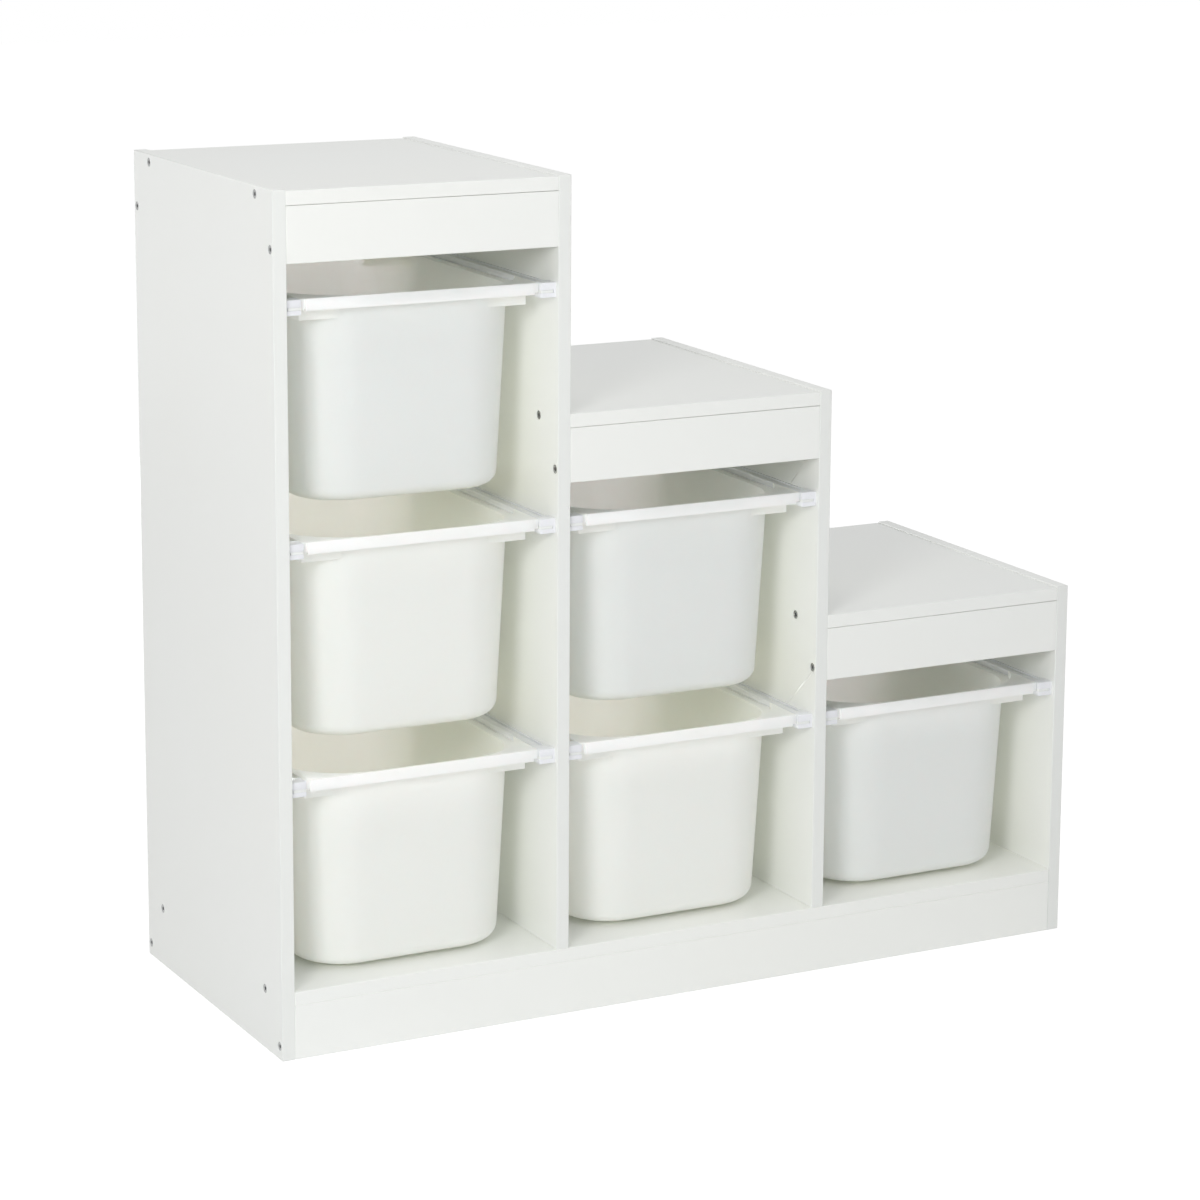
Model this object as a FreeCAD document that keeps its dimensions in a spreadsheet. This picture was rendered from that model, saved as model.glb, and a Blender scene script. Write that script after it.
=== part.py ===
import FreeCAD, Part
import math
import os
import re

import Sketcher

Vector = FreeCAD.Vector

# A stepped toy organizer: four upright boards make three columns that go down like stairs,
# and six moulded bins hang in them by their side flanges on plastic runners.
# Frame: X across the width, +Y to the back, +Z up, origin at the middle of the footprint.

doc = FreeCAD.newDocument("toy_organizer")
sheet = doc.addObject("Spreadsheet::Sheet", "size")

# driving dimensions, millimetres and degrees
dimensions = {
    "board": 15, "column_width": 310, "depth": 400,
    "tall_height": 930, "step_height": 256, "top_reveal": 1.5,
    "rail_height": 60, "plinth_height": 60, "edge_break": 0.6,
    "bin_drop": 115,
    "runner_width": 18, "runner_height": 16, "runner_front": 6, "runner_length": 384,
    "runner_web": 2.6, "runner_block": 18, "runner_stop": 6,
    "rail_inset": 3, "rail_drop": 1.5, "groove_edge": 6.5, "groove_depth": 4,
    "slot_top": 7.8, "slot_height": 3.4,
    "bin_half_width": 131.6, "bin_half_length": 173.6, "bin_height": 223.5, "bin_round": 71.6,
    "bin_floor_round": 14, "bin_wall": 2.5, "bin_draft": 3.1, "bin_centre": 197,
    "flange_top": 8, "flange_thick": 3,
    "flange_half_width": 151.6, "flange_half_length": 184, "tongue_front": 190.4,
    "rim_half_width": 136.4, "rim_half_length": 184, "rim_thick": 3,
    "rim_opening": 140.4, "rim_opening_round": 85,
    "bar_half_width": 131, "bar_half_length": 189, "bar_height": 12.5, "bar_wall": 3,
    "skirt_half_width": 130.3, "skirt_half_length": 168, "skirt_bottom": 25.5, "skirt_wall": 2,
    "screw_head": 10, "screw_head_depth": 3, "screw_shank": 7, "screw_shank_depth": 12,
    "screw_thread": 5, "screw_thread_length": 35,
    "screw_inset": 47, "low_screw": 15, "high_dowel": 42,
    "dowel": 8, "dowel_in_face": 9, "dowel_in_end": 21,
    "runner_screw_head": 6.5, "runner_screw_head_depth": 2.5,
    "runner_screw": 3.5, "runner_screw_length": 14,
    "runner_screw_first": 60, "runner_screw_pitch": 270, "runner_screw_shift": 12,
    "over_cut": 1,  # how far a cutting tool reaches past a face that it opens
}
for line, (alias, size) in enumerate(dimensions.items(), start=1):
    sheet.set("A%d" % line, alias)
    sheet.set("B%d" % line, str(size))
    sheet.setAlias("B%d" % line, alias)
doc.recompute()


def sized(text):
    """Turns the plain words of a dimension into references to the sheet."""
    return re.sub(r"[a-z_]+", lambda word: "size." + word.group(), text)


def value(text):
    return float(sheet.evalExpression(sized(text)))


def bind(thing, name, text):
    thing.setExpression(name, sized(text))


def place(thing, x, y, z):
    bind(thing, "Placement.Base.x", x)
    bind(thing, "Placement.Base.y", y)
    bind(thing, "Placement.Base.z", z)


def new_body(label):
    body = doc.addObject("PartDesign::Body", label)
    body.Label = label
    return body


def sketch_on(body, role, name, lift="0"):
    sketch = body.newObject("Sketcher::SketchObject", body.Name + "_" + name)
    plane = [feature for feature in body.Origin.OriginFeatures if feature.Role == role][0]
    sketch.AttachmentSupport = [(plane, "")]
    sketch.MapMode = "FlatFace"
    bind(sketch, "AttachmentOffset.Base.z", lift)
    return sketch


def dimension(sketch, kind, picks, text):
    number = sketch.addConstraint(Sketcher.Constraint(kind, *picks, value(text)))
    bind(sketch, "Constraints[%d]" % number, text)


def rectangle(sketch, left, bottom, width, height):
    """A rectangle whose lower left corner is measured from the sketch's origin."""
    x0, y0, w, h = value(left), value(bottom), value(width), value(height)
    corners = [Vector(x0, y0), Vector(x0 + w, y0), Vector(x0 + w, y0 + h), Vector(x0, y0 + h)]
    first = sketch.GeometryCount
    for i in range(4):
        sketch.addGeometry(Part.LineSegment(corners[i], corners[(i + 1) % 4]))
    for i in range(4):
        sketch.addConstraint(Sketcher.Constraint("Coincident", first + i, 2, first + (i + 1) % 4, 1))
    for i in (0, 2):
        sketch.addConstraint(Sketcher.Constraint("Horizontal", first + i))
        sketch.addConstraint(Sketcher.Constraint("Vertical", first + i + 1))
    dimension(sketch, "DistanceX", (-1, 1, first, 1), left)
    dimension(sketch, "DistanceY", (-1, 1, first, 1), bottom)
    dimension(sketch, "DistanceX", (first, 1, first, 2), width)
    dimension(sketch, "DistanceY", (first + 1, 1, first + 1, 2), height)


def rounded_rectangle(sketch, half_width, half_length, radius):
    """A rectangle about the sketch's origin whose corners are arcs."""
    a, b, r = value(half_width), value(half_length), value(radius)
    ends = [
        Vector(r - a, -b), Vector(a - r, -b), Vector(a, r - b), Vector(a, b - r),
        Vector(a - r, b), Vector(r - a, b), Vector(-a, b - r), Vector(-a, r - b),
    ]
    centres = [Vector(a - r, r - b), Vector(a - r, b - r), Vector(r - a, b - r), Vector(r - a, r - b)]
    quarter = math.pi / 2
    for i in range(4):
        sketch.addGeometry(Part.LineSegment(ends[2 * i], ends[2 * i + 1]))
        circle = Part.Circle(centres[i], Vector(0, 0, 1), r)
        sketch.addGeometry(Part.ArcOfCircle(circle, (i - 1) * quarter, i * quarter))
    for i in range(8):
        sketch.addConstraint(Sketcher.Constraint("Tangent", i, 2, (i + 1) % 8, 1))
    for arc in (3, 5, 7):
        sketch.addConstraint(Sketcher.Constraint("Equal", 1, arc))
    sketch.addConstraint(Sketcher.Constraint("Horizontal", 0))
    sketch.addConstraint(Sketcher.Constraint("Vertical", 2))
    sketch.addConstraint(Sketcher.Constraint("Symmetric", 0, 1, 4, 1, -1, 1))
    sketch.addConstraint(Sketcher.Constraint("Symmetric", 2, 1, 6, 1, -1, 1))
    dimension(sketch, "Radius", (1,), radius)
    dimension(sketch, "DistanceX", (-1, 1, 2, 1), half_width)
    dimension(sketch, "DistanceY", (0, 1, -1, 1), half_length)


def circles(sketch, centres, diameter):
    for x, y in centres:
        circle = Part.Circle(Vector(value(x), value(y)), Vector(0, 0, 1), value(diameter) / 2)
        number = sketch.addGeometry(circle)
        dimension(sketch, "Diameter", (number,), diameter)
        dimension(sketch, "DistanceX", (-1, 1, number, 3), x)
        dimension(sketch, "DistanceY", (-1, 1, number, 3), y)


def pad(body, sketch, length, name, backwards=False):
    feature = body.newObject("PartDesign::Pad", body.Name + "_" + name)
    feature.Profile = sketch
    feature.Reversed = backwards
    bind(feature, "Length", length)
    sketch.Visibility = False
    return feature


def pocket(body, sketch, depth, name, backwards=False, draft=None):
    """A cut, checked by volume because one that points away from the solid removes nothing."""
    doc.recompute()
    before = body.Shape.Volume
    feature = body.newObject("PartDesign::Pocket", body.Name + "_" + name)
    feature.Profile = sketch
    feature.Reversed = backwards
    bind(feature, "Length", depth)
    if draft:
        bind(feature, "TaperAngle", draft)
    doc.recompute()
    if body.Shape.Volume > before - 1:
        raise RuntimeError(feature.Name + " removes nothing")
    return feature


# ---------------------------------------------------------------- where things stand

left_face = "-1.5 * column_width - 2 * board"
front_face = "-depth / 2"
shelf_bottom = "plinth_height"
shelf_top = "plinth_height + board"


def column_left(column):
    """The inner left face of a column, counted 0, 1, 2 from the tall side."""
    return "%s + board + %d * (column_width + board)" % (left_face, column)


def column_height(column):
    return "tall_height - %d * step_height" % column


def top_middle(column):
    return "%s - top_reveal - board / 2" % column_height(column)


def rail_bottom(column):
    return "%s - top_reveal - board - rail_height" % column_height(column)


def rim_level(column, row):
    """Top of the rim of a bin; rows count up from the bottom one."""
    return "tall_height - bin_drop - %d * step_height" % (2 - row)


parts = []


def board(label, width, deep, high, x, y, z):
    """A melamine board with a small break on every edge."""
    body = new_body(label)
    outline = sketch_on(body, "XY_Plane", "outline")
    rectangle(outline, "0", "0", width, deep)
    block = pad(body, outline, high, "block")
    doc.recompute()
    chamfer = body.newObject("PartDesign::Chamfer", label + "_edges")
    chamfer.Base = (block, ["Edge%d" % (i + 1) for i in range(len(block.Shape.Edges))])
    bind(chamfer, "Size", "edge_break")
    place(body, x, y, z)
    doc.recompute()
    parts.append(body)
    return body


def drill(body, role, name, centres, diameter, depth, lift="0", backwards=False):
    sketch = sketch_on(body, role, name, lift)
    circles(sketch, centres, diameter)
    pocket(body, sketch, depth, name + "_cut", backwards)


# ---------------------------------------------------------------- the boards

# Fixing points of a board end, as (y, z) in the row's frame.
front_line = "board / 2"
back_line = "depth - board / 2"


def upper_screws(column):
    top = top_middle(column)
    rail = "%s + low_screw" % rail_bottom(column)
    return [("screw_inset", top), ("depth - screw_inset", top), (front_line, rail), (back_line, rail)]


def upper_dowels(column):
    rail = "%s + high_dowel" % rail_bottom(column)
    return [("depth / 2", top_middle(column)), (front_line, rail), (back_line, rail)]


shelf_middle = "%s + board / 2" % shelf_bottom
lower_screws = [
    ("screw_inset", shelf_middle), ("depth - screw_inset", shelf_middle),
    (front_line, "low_screw"), (back_line, "low_screw"),
]
lower_dowels = [("depth / 2", shelf_middle), (front_line, "high_dowel"), (back_line, "high_dowel")]

# Runner screws go into both faces of a divider, so those of the two sides are staggered.
runner_levels = {0: (0, 1, 2), 1: (0, 1), 2: (0,)}


def runner_screw_points(column, side):
    """Screw places of one side's runners; side is -1 for the left of a column, 1 for the right."""
    shift = "%d * runner_screw_shift" % (side > 0)
    points = []
    for row in runner_levels[column]:
        level = "%s - slot_top - slot_height / 2" % rim_level(column, row)
        points += [("runner_screw_first + %s" % shift, level)]
        points += [("runner_screw_first + runner_screw_pitch + %s" % shift, level)]
    return points


def above_base(points, base):
    return [(y, "%s - (%s)" % (z, base)) for y, z in points]


def upright(label, x, base, high, left_column, right_column):
    """An upright board; left_column and right_column are the columns it closes, or None."""
    body = board(label, "board", "depth", "%s - (%s)" % (high, base), x, front_face, base)
    outer = left_column is None or right_column is None
    through, blind_left, blind_right = [], [], []
    # screws that enter from the board's left face hold the column on its right, and the reverse
    if right_column is not None:
        through += upper_screws(right_column) + (lower_screws if outer else [])
        blind_right += upper_dowels(right_column) + (lower_dowels if outer else [])
    heads_left = list(through)
    heads_right = []
    if left_column is not None:
        heads_right = upper_screws(left_column) + (lower_screws if outer else [])
        blind_left += upper_dowels(left_column) + (lower_dowels if outer else [])
        through += heads_right
    drill(body, "YZ_Plane", "clearance", above_base(through, base), "screw_shank",
          "board + 2 * over_cut", "board + over_cut")
    if heads_left:
        drill(body, "YZ_Plane", "heads_left", above_base(heads_left, base), "screw_head",
              "screw_head_depth", "0", True)
    if heads_right:
        drill(body, "YZ_Plane", "heads_right", above_base(heads_right, base), "screw_head",
              "screw_head_depth", "board")
    if blind_left:
        drill(body, "YZ_Plane", "dowels_left", above_base(blind_left, base), "dowel",
              "dowel_in_face", "0", True)
    if blind_right:
        drill(body, "YZ_Plane", "dowels_right", above_base(blind_right, base), "dowel",
              "dowel_in_face", "board")
    pilot = "runner_screw_length - runner_web"
    if left_column is not None:
        drill(body, "YZ_Plane", "pilots_left", above_base(runner_screw_points(left_column, 1), base),
              "runner_screw", pilot, "0", True)
    if right_column is not None:
        drill(body, "YZ_Plane", "pilots_right", above_base(runner_screw_points(right_column, -1), base),
              "runner_screw", pilot, "board")
    return body


def cross_board(label, width, deep, high, x, y, z, screws, dowels):
    """A board between two uprights, drilled in both ends for screws and dowels."""
    body = board(label, width, deep, high, x, "%s + (%s)" % (front_face, y), z)
    ends = [("%s - (%s)" % (py, y), "%s - (%s)" % (pz, z)) for py, pz in screws]
    pegs = [("%s - (%s)" % (py, y), "%s - (%s)" % (pz, z)) for py, pz in dowels]
    drill(body, "YZ_Plane", "screws_left", ends, "screw_thread", "screw_thread_length", "0", True)
    drill(body, "YZ_Plane", "screws_right", ends, "screw_thread", "screw_thread_length", width)
    drill(body, "YZ_Plane", "pegs_left", pegs, "dowel", "dowel_in_end", "0", True)
    drill(body, "YZ_Plane", "pegs_right", pegs, "dowel", "dowel_in_end", width)
    return body


upright_names = ["left_side_panel", "tall_divider", "middle_divider", "right_side_panel"]
upright_heights = [column_height(0), column_height(0), column_height(1), column_height(2)]
upright_bases = ["0", shelf_top, shelf_top, "0"]
uprights = []
for number, label in enumerate(upright_names):
    left_x = "%s + %d * (column_width + board)" % (left_face, number)
    left_column = number - 1 if number > 0 else None
    right_column = number if number < 3 else None
    uprights.append(upright(label, left_x, upright_bases[number], upright_heights[number],
                            left_column, right_column))

# Each divider stands on the shelf, held by two screws from below and a dowel.
foot_screws = ["screw_inset + board", "depth - screw_inset - board"]
for body in uprights[1:3]:
    feet = [("board / 2", y) for y in foot_screws]
    drill(body, "XY_Plane", "foot_screws", feet, "screw_thread", "screw_thread_length", "0", True)
    drill(body, "XY_Plane", "foot_dowel", [("board / 2", "depth / 2")], "dowel", "dowel_in_end", "0", True)

column_names = ["tall", "middle", "low"]
for column, name in enumerate(column_names):
    x = column_left(column)
    top = "%s - top_reveal - board" % column_height(column)
    rail = rail_bottom(column)
    screws = upper_screws(column)
    dowels = upper_dowels(column)
    cross_board(name + "_top_panel", "column_width", "depth", "board", x, "0", top,
                screws[:2], dowels[:1])
    cross_board(name + "_front_rail", "column_width", "board", "rail_height", x, "0", rail,
                screws[2:3], dowels[1:2])
    cross_board(name + "_back_rail", "column_width", "board", "rail_height", x, "depth - board", rail,
                screws[3:], dowels[2:])

inner_width = "3 * column_width + 2 * board"
shelf = cross_board("bottom_shelf", inner_width, "depth", "board", column_left(0), "0", shelf_bottom,
                    lower_screws[:2], lower_dowels[:1])
cross_board("front_plinth", inner_width, "board", "plinth_height", column_left(0), "0", "0",
            lower_screws[2:3], lower_dowels[1:2])
cross_board("back_plinth", inner_width, "board", "plinth_height", column_left(0), "depth - board", "0",
            lower_screws[3:], lower_dowels[2:])

divider_lines = ["%d * (column_width + board) - board / 2" % n for n in (1, 2)]
feet = [(x, y) for x in divider_lines for y in foot_screws]
pegs = [(x, "depth / 2") for x in divider_lines]
drill(shelf, "XY_Plane", "foot_clearance", feet, "screw_shank", "board + 2 * over_cut", "board + over_cut")
drill(shelf, "XY_Plane", "foot_heads", feet, "screw_head", "screw_head_depth", "0", True)
drill(shelf, "XY_Plane", "foot_pegs", pegs, "dowel", "dowel_in_face", "board")


# ---------------------------------------------------------------- the runners

def across(side, near, far):
    """Left edge and width of a strip between two distances from the wall that a runner hangs on."""
    return (near if side < 0 else "-(%s)" % far), "%s - (%s)" % (far, near)


def top_cut(body, side, near, far, start, end, depth, name):
    """A cut from above, between two distances from the wall and two from the runner's front."""
    sketch = sketch_on(body, "XY_Plane", name, "over_cut")
    left, width = across(side, near, far)
    rectangle(sketch, left, start, width, "%s - (%s)" % (end, start))
    pocket(body, sketch, "over_cut + %s" % depth, name + "_cut")


def runner(label, column, row, side):
    """A moulded rail with a block at its front end; side is -1 on the left of its column.

    A bin's flange slides in the slot on the open side, and two screws sit countersunk in the web.
    """
    body = new_body(label)
    section = sketch_on(body, "XZ_Plane", "section")
    left, width = across(side, "0", "runner_width")
    rectangle(section, left, "-runner_height", width, "runner_height")
    pad(body, section, "runner_length", "block", True)
    slot = sketch_on(body, "XZ_Plane", "slot")
    left, width = across(side, "runner_web", "runner_width + over_cut")
    rectangle(slot, left, "-slot_top - slot_height", width, "slot_height")
    pocket(body, slot, "runner_length - runner_stop", "slot_cut")
    back = "runner_length + over_cut"
    top_cut(body, side, "runner_width - rail_inset", "runner_width + over_cut", "runner_block", back,
            "runner_height + over_cut", "inset")
    top_cut(body, side, "-over_cut", "runner_width", "runner_block", back, "rail_drop", "drop")
    top_cut(body, side, "runner_web", "groove_edge", "runner_block + rail_inset",
            "runner_length - runner_stop", "rail_drop + groove_depth", "groove")
    level = "-slot_top - slot_height / 2"
    start = "runner_screw_first - runner_front + %d * runner_screw_shift" % (side > 0)
    points = [(start, level), ("%s + runner_screw_pitch" % start, level)]
    sign = "" if side < 0 else "-"
    drill(body, "YZ_Plane", "heads", points, "runner_screw_head",
          "runner_width - rail_inset - runner_web + runner_screw_head_depth",
          sign + "(runner_width - rail_inset)", side > 0)
    drill(body, "YZ_Plane", "holes", points, "runner_screw", "runner_width + 2 * over_cut",
          sign + "(runner_width + over_cut)", side > 0)
    wall = column_left(column) if side < 0 else "%s + column_width" % column_left(column)
    place(body, wall, "%s + runner_front" % front_face, rim_level(column, row))
    parts.append(body)


row_names = ["low", "middle", "high"]
for column, rows in runner_levels.items():
    for row in rows:
        for side, side_name in ((-1, "left"), (1, "right")):
            label = "%s_column_%s_%s_runner" % (column_names[column], row_names[row], side_name)
            runner(label, column, row, side)


# ---------------------------------------------------------------- the bins

def edges_at(shape, level):
    """Names of the edges that lie wholly at one height."""
    found = []
    for number, edge in enumerate(shape.Edges, start=1):
        box = edge.BoundBox
        if abs(box.ZMin - level) < 0.01 and abs(box.ZMax - level) < 0.01:
            found.append("Edge%d" % number)
    return found


def round_edges(body, base, level, radius, name):
    doc.recompute()
    feature = body.newObject("PartDesign::Fillet", body.Name + "_" + name)
    feature.Base = (base, edges_at(base.Shape, level))
    bind(feature, "Radius", radius)
    doc.recompute()
    return feature


def pair(sketch, near, far, bottom, height):
    """The same rectangle on both sides of a bin's middle plane."""
    width = "%s - (%s)" % (far, near)
    rectangle(sketch, near, bottom, width, height)
    rectangle(sketch, "-(%s)" % far, bottom, width, height)


def bin_body(label, column, row):
    """A deep tapered tub; z is 0 at the raised rim of its front and back, y at its middle."""
    body = new_body(label)
    # an upright wall runs in an arc across each corner, down from the rim to the flanges
    wall = sketch_on(body, "XY_Plane", "rim_wall")
    rounded_rectangle(wall, "rim_opening + rim_thick", "bar_half_length", "rim_opening_round + rim_thick")
    pad(body, wall, "flange_top", "rim_block", True)
    sides = sketch_on(body, "XY_Plane", "rim_sides")
    pair(sides, "rim_half_width", "rim_opening + rim_thick + over_cut", "-bar_half_length",
         "2 * bar_half_length")
    pocket(body, sides, "flange_top", "rim_sides_cut")
    rim = sketch_on(body, "XY_Plane", "rim")
    rectangle(rim, "-rim_half_width", "-rim_half_length", "2 * rim_half_width", "2 * rim_half_length")
    pad(body, rim, "rim_thick", "rim_plate", True)

    # flanges all round at a lower level, with a tongue at each front corner
    flange = sketch_on(body, "XY_Plane", "flange", "-flange_top")
    rectangle(flange, "-flange_half_width", "-flange_half_length",
              "2 * flange_half_width", "2 * flange_half_length")
    pad(body, flange, "flange_thick", "flange_plate", True)
    tongues = sketch_on(body, "XY_Plane", "tongues", "-flange_top")
    pair(tongues, "rim_half_width + over_cut", "flange_half_width", "-tongue_front",
         "tongue_front - flange_half_length + over_cut")
    pad(body, tongues, "flange_thick", "tongue_plates", True)

    # a bar hangs from the rim across the front and the back
    bars = sketch_on(body, "XY_Plane", "bars")
    bar_deep = "bar_half_length - rim_half_length"
    rectangle(bars, "-bar_half_width", "-bar_half_length", "2 * bar_half_width", bar_deep)
    rectangle(bars, "-bar_half_width", "rim_half_length", "2 * bar_half_width", bar_deep)
    pad(body, bars, "bar_height", "bar_blocks", True)

    # the opening leaves the rim along the bars and in the corners, and the side flanges open above
    opening = sketch_on(body, "XY_Plane", "opening")
    rounded_rectangle(opening, "rim_opening", "bar_half_length - bar_wall", "rim_opening_round")
    pocket(body, opening, "flange_top", "opening_cut")

    # a skirt under the flanges makes square shoulders around the tub's round corners
    skirt = sketch_on(body, "XY_Plane", "skirt", "-flange_top")
    rectangle(skirt, "-skirt_half_width", "-skirt_half_length",
              "2 * skirt_half_width", "2 * skirt_half_length")
    rectangle(skirt, "-skirt_half_width + skirt_wall", "-skirt_half_length + skirt_wall",
              "2 * skirt_half_width - 2 * skirt_wall", "2 * skirt_half_length - 2 * skirt_wall")
    pad(body, skirt, "skirt_bottom - flange_top", "skirt_walls", True)

    tub = sketch_on(body, "XY_Plane", "tub", "-flange_top")
    rounded_rectangle(tub, "bin_half_width", "bin_half_length", "bin_round")
    shell = pad(body, tub, "bin_height - flange_top", "tub_block", True)
    bind(shell, "TaperAngle", "-bin_draft")
    inside = sketch_on(body, "XY_Plane", "inside", "-flange_top")
    rounded_rectangle(inside, "bin_half_width - bin_wall", "bin_half_length - bin_wall",
                      "bin_round - bin_wall")
    hollow = pocket(body, inside, "bin_height - flange_top - bin_wall", "inside_cut", False, "-bin_draft")
    rounded = round_edges(body, hollow, value("bin_wall - bin_height"),
                          "bin_floor_round - bin_wall", "inside_edge")
    round_edges(body, rounded, -value("bin_height"), "bin_floor_round", "floor_edge")
    place(body, "%s + column_width / 2" % column_left(column), "%s + bin_centre" % front_face,
          rim_level(column, row))
    parts.append(body)


for column, rows in runner_levels.items():
    for row in rows:
        bin_body("%s_column_%s_bin" % (column_names[column], row_names[row]), column, row)


# ---------------------------------------------------------------- screws and dowels

def rod(name, diameter, length, x, y, z, rotation):
    """A round bar that starts at (x, y, z) and runs along the turned Z axis."""
    cylinder = doc.addObject("Part::Cylinder", name)
    bind(cylinder, "Radius", diameter + " / 2")
    bind(cylinder, "Height", length)
    cylinder.Placement = FreeCAD.Placement(Vector(), rotation)
    place(cylinder, x, y, z)
    return cylinder


turns = {
    "+X": (FreeCAD.Rotation(Vector(0, 1, 0), 90), "x", "+"),
    "-X": (FreeCAD.Rotation(Vector(0, 1, 0), -90), "x", "-"),
    "+Z": (FreeCAD.Rotation(), "z", "+"),
}


def stepped(name, steps, start, way):
    """Rods of falling diameter, one after the other along one direction, fused into one solid."""
    rotation, letter, sign = turns[way]
    rods = []
    travelled = "0"
    for number, (diameter, length) in enumerate(steps):
        spot = dict(zip("xyz", start))
        spot[letter] = "%s %s (%s)" % (spot[letter], sign, travelled)
        rods.append(rod("%s_%d" % (name, number), diameter, length, spot["x"], spot["y"], spot["z"],
                        rotation))
        travelled += " + " + length
    if len(rods) == 1:
        return rods[0]
    fused = doc.addObject("Part::MultiFuse", name)
    fused.Shapes = rods
    return fused


def group(label, pieces):
    compound = doc.addObject("Part::Compound", label)
    compound.Label = label
    compound.Links = pieces
    parts.append(compound)


assembly_screw = [("screw_head", "screw_head_depth"), ("screw_shank", "screw_shank_depth"),
                  ("screw_thread", "screw_thread_length")]
wood_dowel = [("dowel", "dowel_in_face + dowel_in_end")]
wood_screw = [("runner_screw_head", "runner_screw_head_depth"),
              ("runner_screw", "runner_screw_length - runner_screw_head_depth")]


def in_depth(y):
    return "%s + (%s)" % (front_face, y)


for number, label in enumerate(upright_names):
    face = "%s + %d * (column_width + board)" % (left_face, number)
    screws = []
    outer = number in (0, 3)
    if number < 3:
        points = upper_screws(number) + (lower_screws if outer else [])
        for n, (y, z) in enumerate(points):
            name = "%s_screw_right_%d" % (label, n)
            screws.append(stepped(name, assembly_screw, (face, in_depth(y), z), "+X"))
    if number > 0:
        points = upper_screws(number - 1) + (lower_screws if outer else [])
        for n, (y, z) in enumerate(points):
            name = "%s_screw_left_%d" % (label, n)
            screws.append(stepped(name, assembly_screw, (face + " + board", in_depth(y), z), "-X"))
    group(label + "_screws", screws)

screws = []
for n, (x, y) in enumerate(feet):
    start = ("%s + %s" % (column_left(0), x), in_depth(y), shelf_bottom)
    screws.append(stepped("foot_screw_%d" % n, assembly_screw, start, "+Z"))
group("divider_foot_screws", screws)

screws = []
for column, rows in runner_levels.items():
    for side in (-1, 1):
        wall = column_left(column) if side < 0 else "%s + column_width" % column_left(column)
        face = "%s %s runner_web" % (wall, "+" if side < 0 else "-")
        way = "-X" if side < 0 else "+X"
        for n, (y, z) in enumerate(runner_screw_points(column, side)):
            name = "runner_screw_%d_%s_%d" % (column, "right" if side > 0 else "left", n)
            screws.append(stepped(name, wood_screw, (face, in_depth(y), z), way))
group("runner_screws", screws)


def dowels_in_column(label, column, points, width):
    """Dowels in both ends of the boards of one column; they start in the uprights' faces."""
    pegs = []
    for n, (y, z) in enumerate(points):
        left = "%s - dowel_in_face" % column_left(column)
        right = "%s + %s + dowel_in_face" % (column_left(column), width)
        pegs.append(stepped("%s_a%d" % (label, n), wood_dowel, (left, in_depth(y), z), "+X"))
        pegs.append(stepped("%s_b%d" % (label, n), wood_dowel, (right, in_depth(y), z), "-X"))
    return pegs


pegs = []
for column in range(3):
    pegs += dowels_in_column("top_dowel_%d" % column, column, upper_dowels(column)[:1], "column_width")
group("top_panel_dowels", pegs)
pegs = []
for column in range(3):
    pegs += dowels_in_column("rail_dowel_%d" % column, column, upper_dowels(column)[1:], "column_width")
group("rail_dowels", pegs)
pegs = dowels_in_column("base_dowel", 0, lower_dowels, inner_width)
group("base_dowels", pegs)
pegs = []
for n, x in enumerate(divider_lines):
    start = ("%s + %s" % (column_left(0), x), in_depth("depth / 2"), "%s - dowel_in_face" % shelf_top)
    pegs.append(stepped("foot_dowel_%d" % n, wood_dowel, start, "+Z"))
group("divider_foot_dowels", pegs)


# ---------------------------------------------------------------- checks and export

doc.recompute()
for thing in doc.Objects:
    if "Invalid" in thing.State or "Error" in thing.State:
        raise RuntimeError("%s is %s" % (thing.Name, thing.State))
for part in parts:
    if part.Shape.isNull() or not part.Shape.isValid():
        raise RuntimeError(part.Label + " has no valid shape")

os.makedirs("parts", exist_ok=True)
for part in parts:
    part.Shape.exportStep("parts/%s.step" % part.Label)
print("%d sub-parts written" % len(parts))
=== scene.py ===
import bmesh
import bpy
import math
from mathutils import Euler, Matrix, Vector


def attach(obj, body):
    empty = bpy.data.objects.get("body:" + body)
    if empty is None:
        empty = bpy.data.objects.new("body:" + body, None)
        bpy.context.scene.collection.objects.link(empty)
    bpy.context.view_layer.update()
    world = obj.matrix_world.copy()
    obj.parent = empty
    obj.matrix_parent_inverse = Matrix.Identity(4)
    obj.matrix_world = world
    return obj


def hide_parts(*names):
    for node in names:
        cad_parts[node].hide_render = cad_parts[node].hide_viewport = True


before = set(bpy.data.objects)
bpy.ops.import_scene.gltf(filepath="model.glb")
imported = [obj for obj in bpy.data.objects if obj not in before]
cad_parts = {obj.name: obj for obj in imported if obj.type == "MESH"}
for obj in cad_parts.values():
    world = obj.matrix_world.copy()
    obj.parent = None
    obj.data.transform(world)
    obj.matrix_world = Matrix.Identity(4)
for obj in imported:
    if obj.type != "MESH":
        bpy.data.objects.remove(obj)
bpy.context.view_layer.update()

scene = bpy.context.scene
mm = 0.001


def linear(hexColour):
    # sRGB hex to the linear values that the shader wants
    out = []
    for i in (1, 3, 5):
        c = int(hexColour[i:i + 2], 16) / 255
        out.append(c / 12.92 if c <= 0.04045 else ((c + 0.055) / 1.055) ** 2.4)
    return (*out, 1.0)


def addNode(tree, kind, settings=None, links=None):
    # settings are the node's own properties; links give each input a value or another socket
    node = tree.nodes.new(kind)
    for name, setting in (settings or {}).items():
        setattr(node, name, setting)
    for name, source in (links or {}).items():
        socket = node.inputs[name]
        if isinstance(source, bpy.types.NodeSocket):
            tree.links.new(source, socket)
        else:
            socket.default_value = source
    return node


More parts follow.
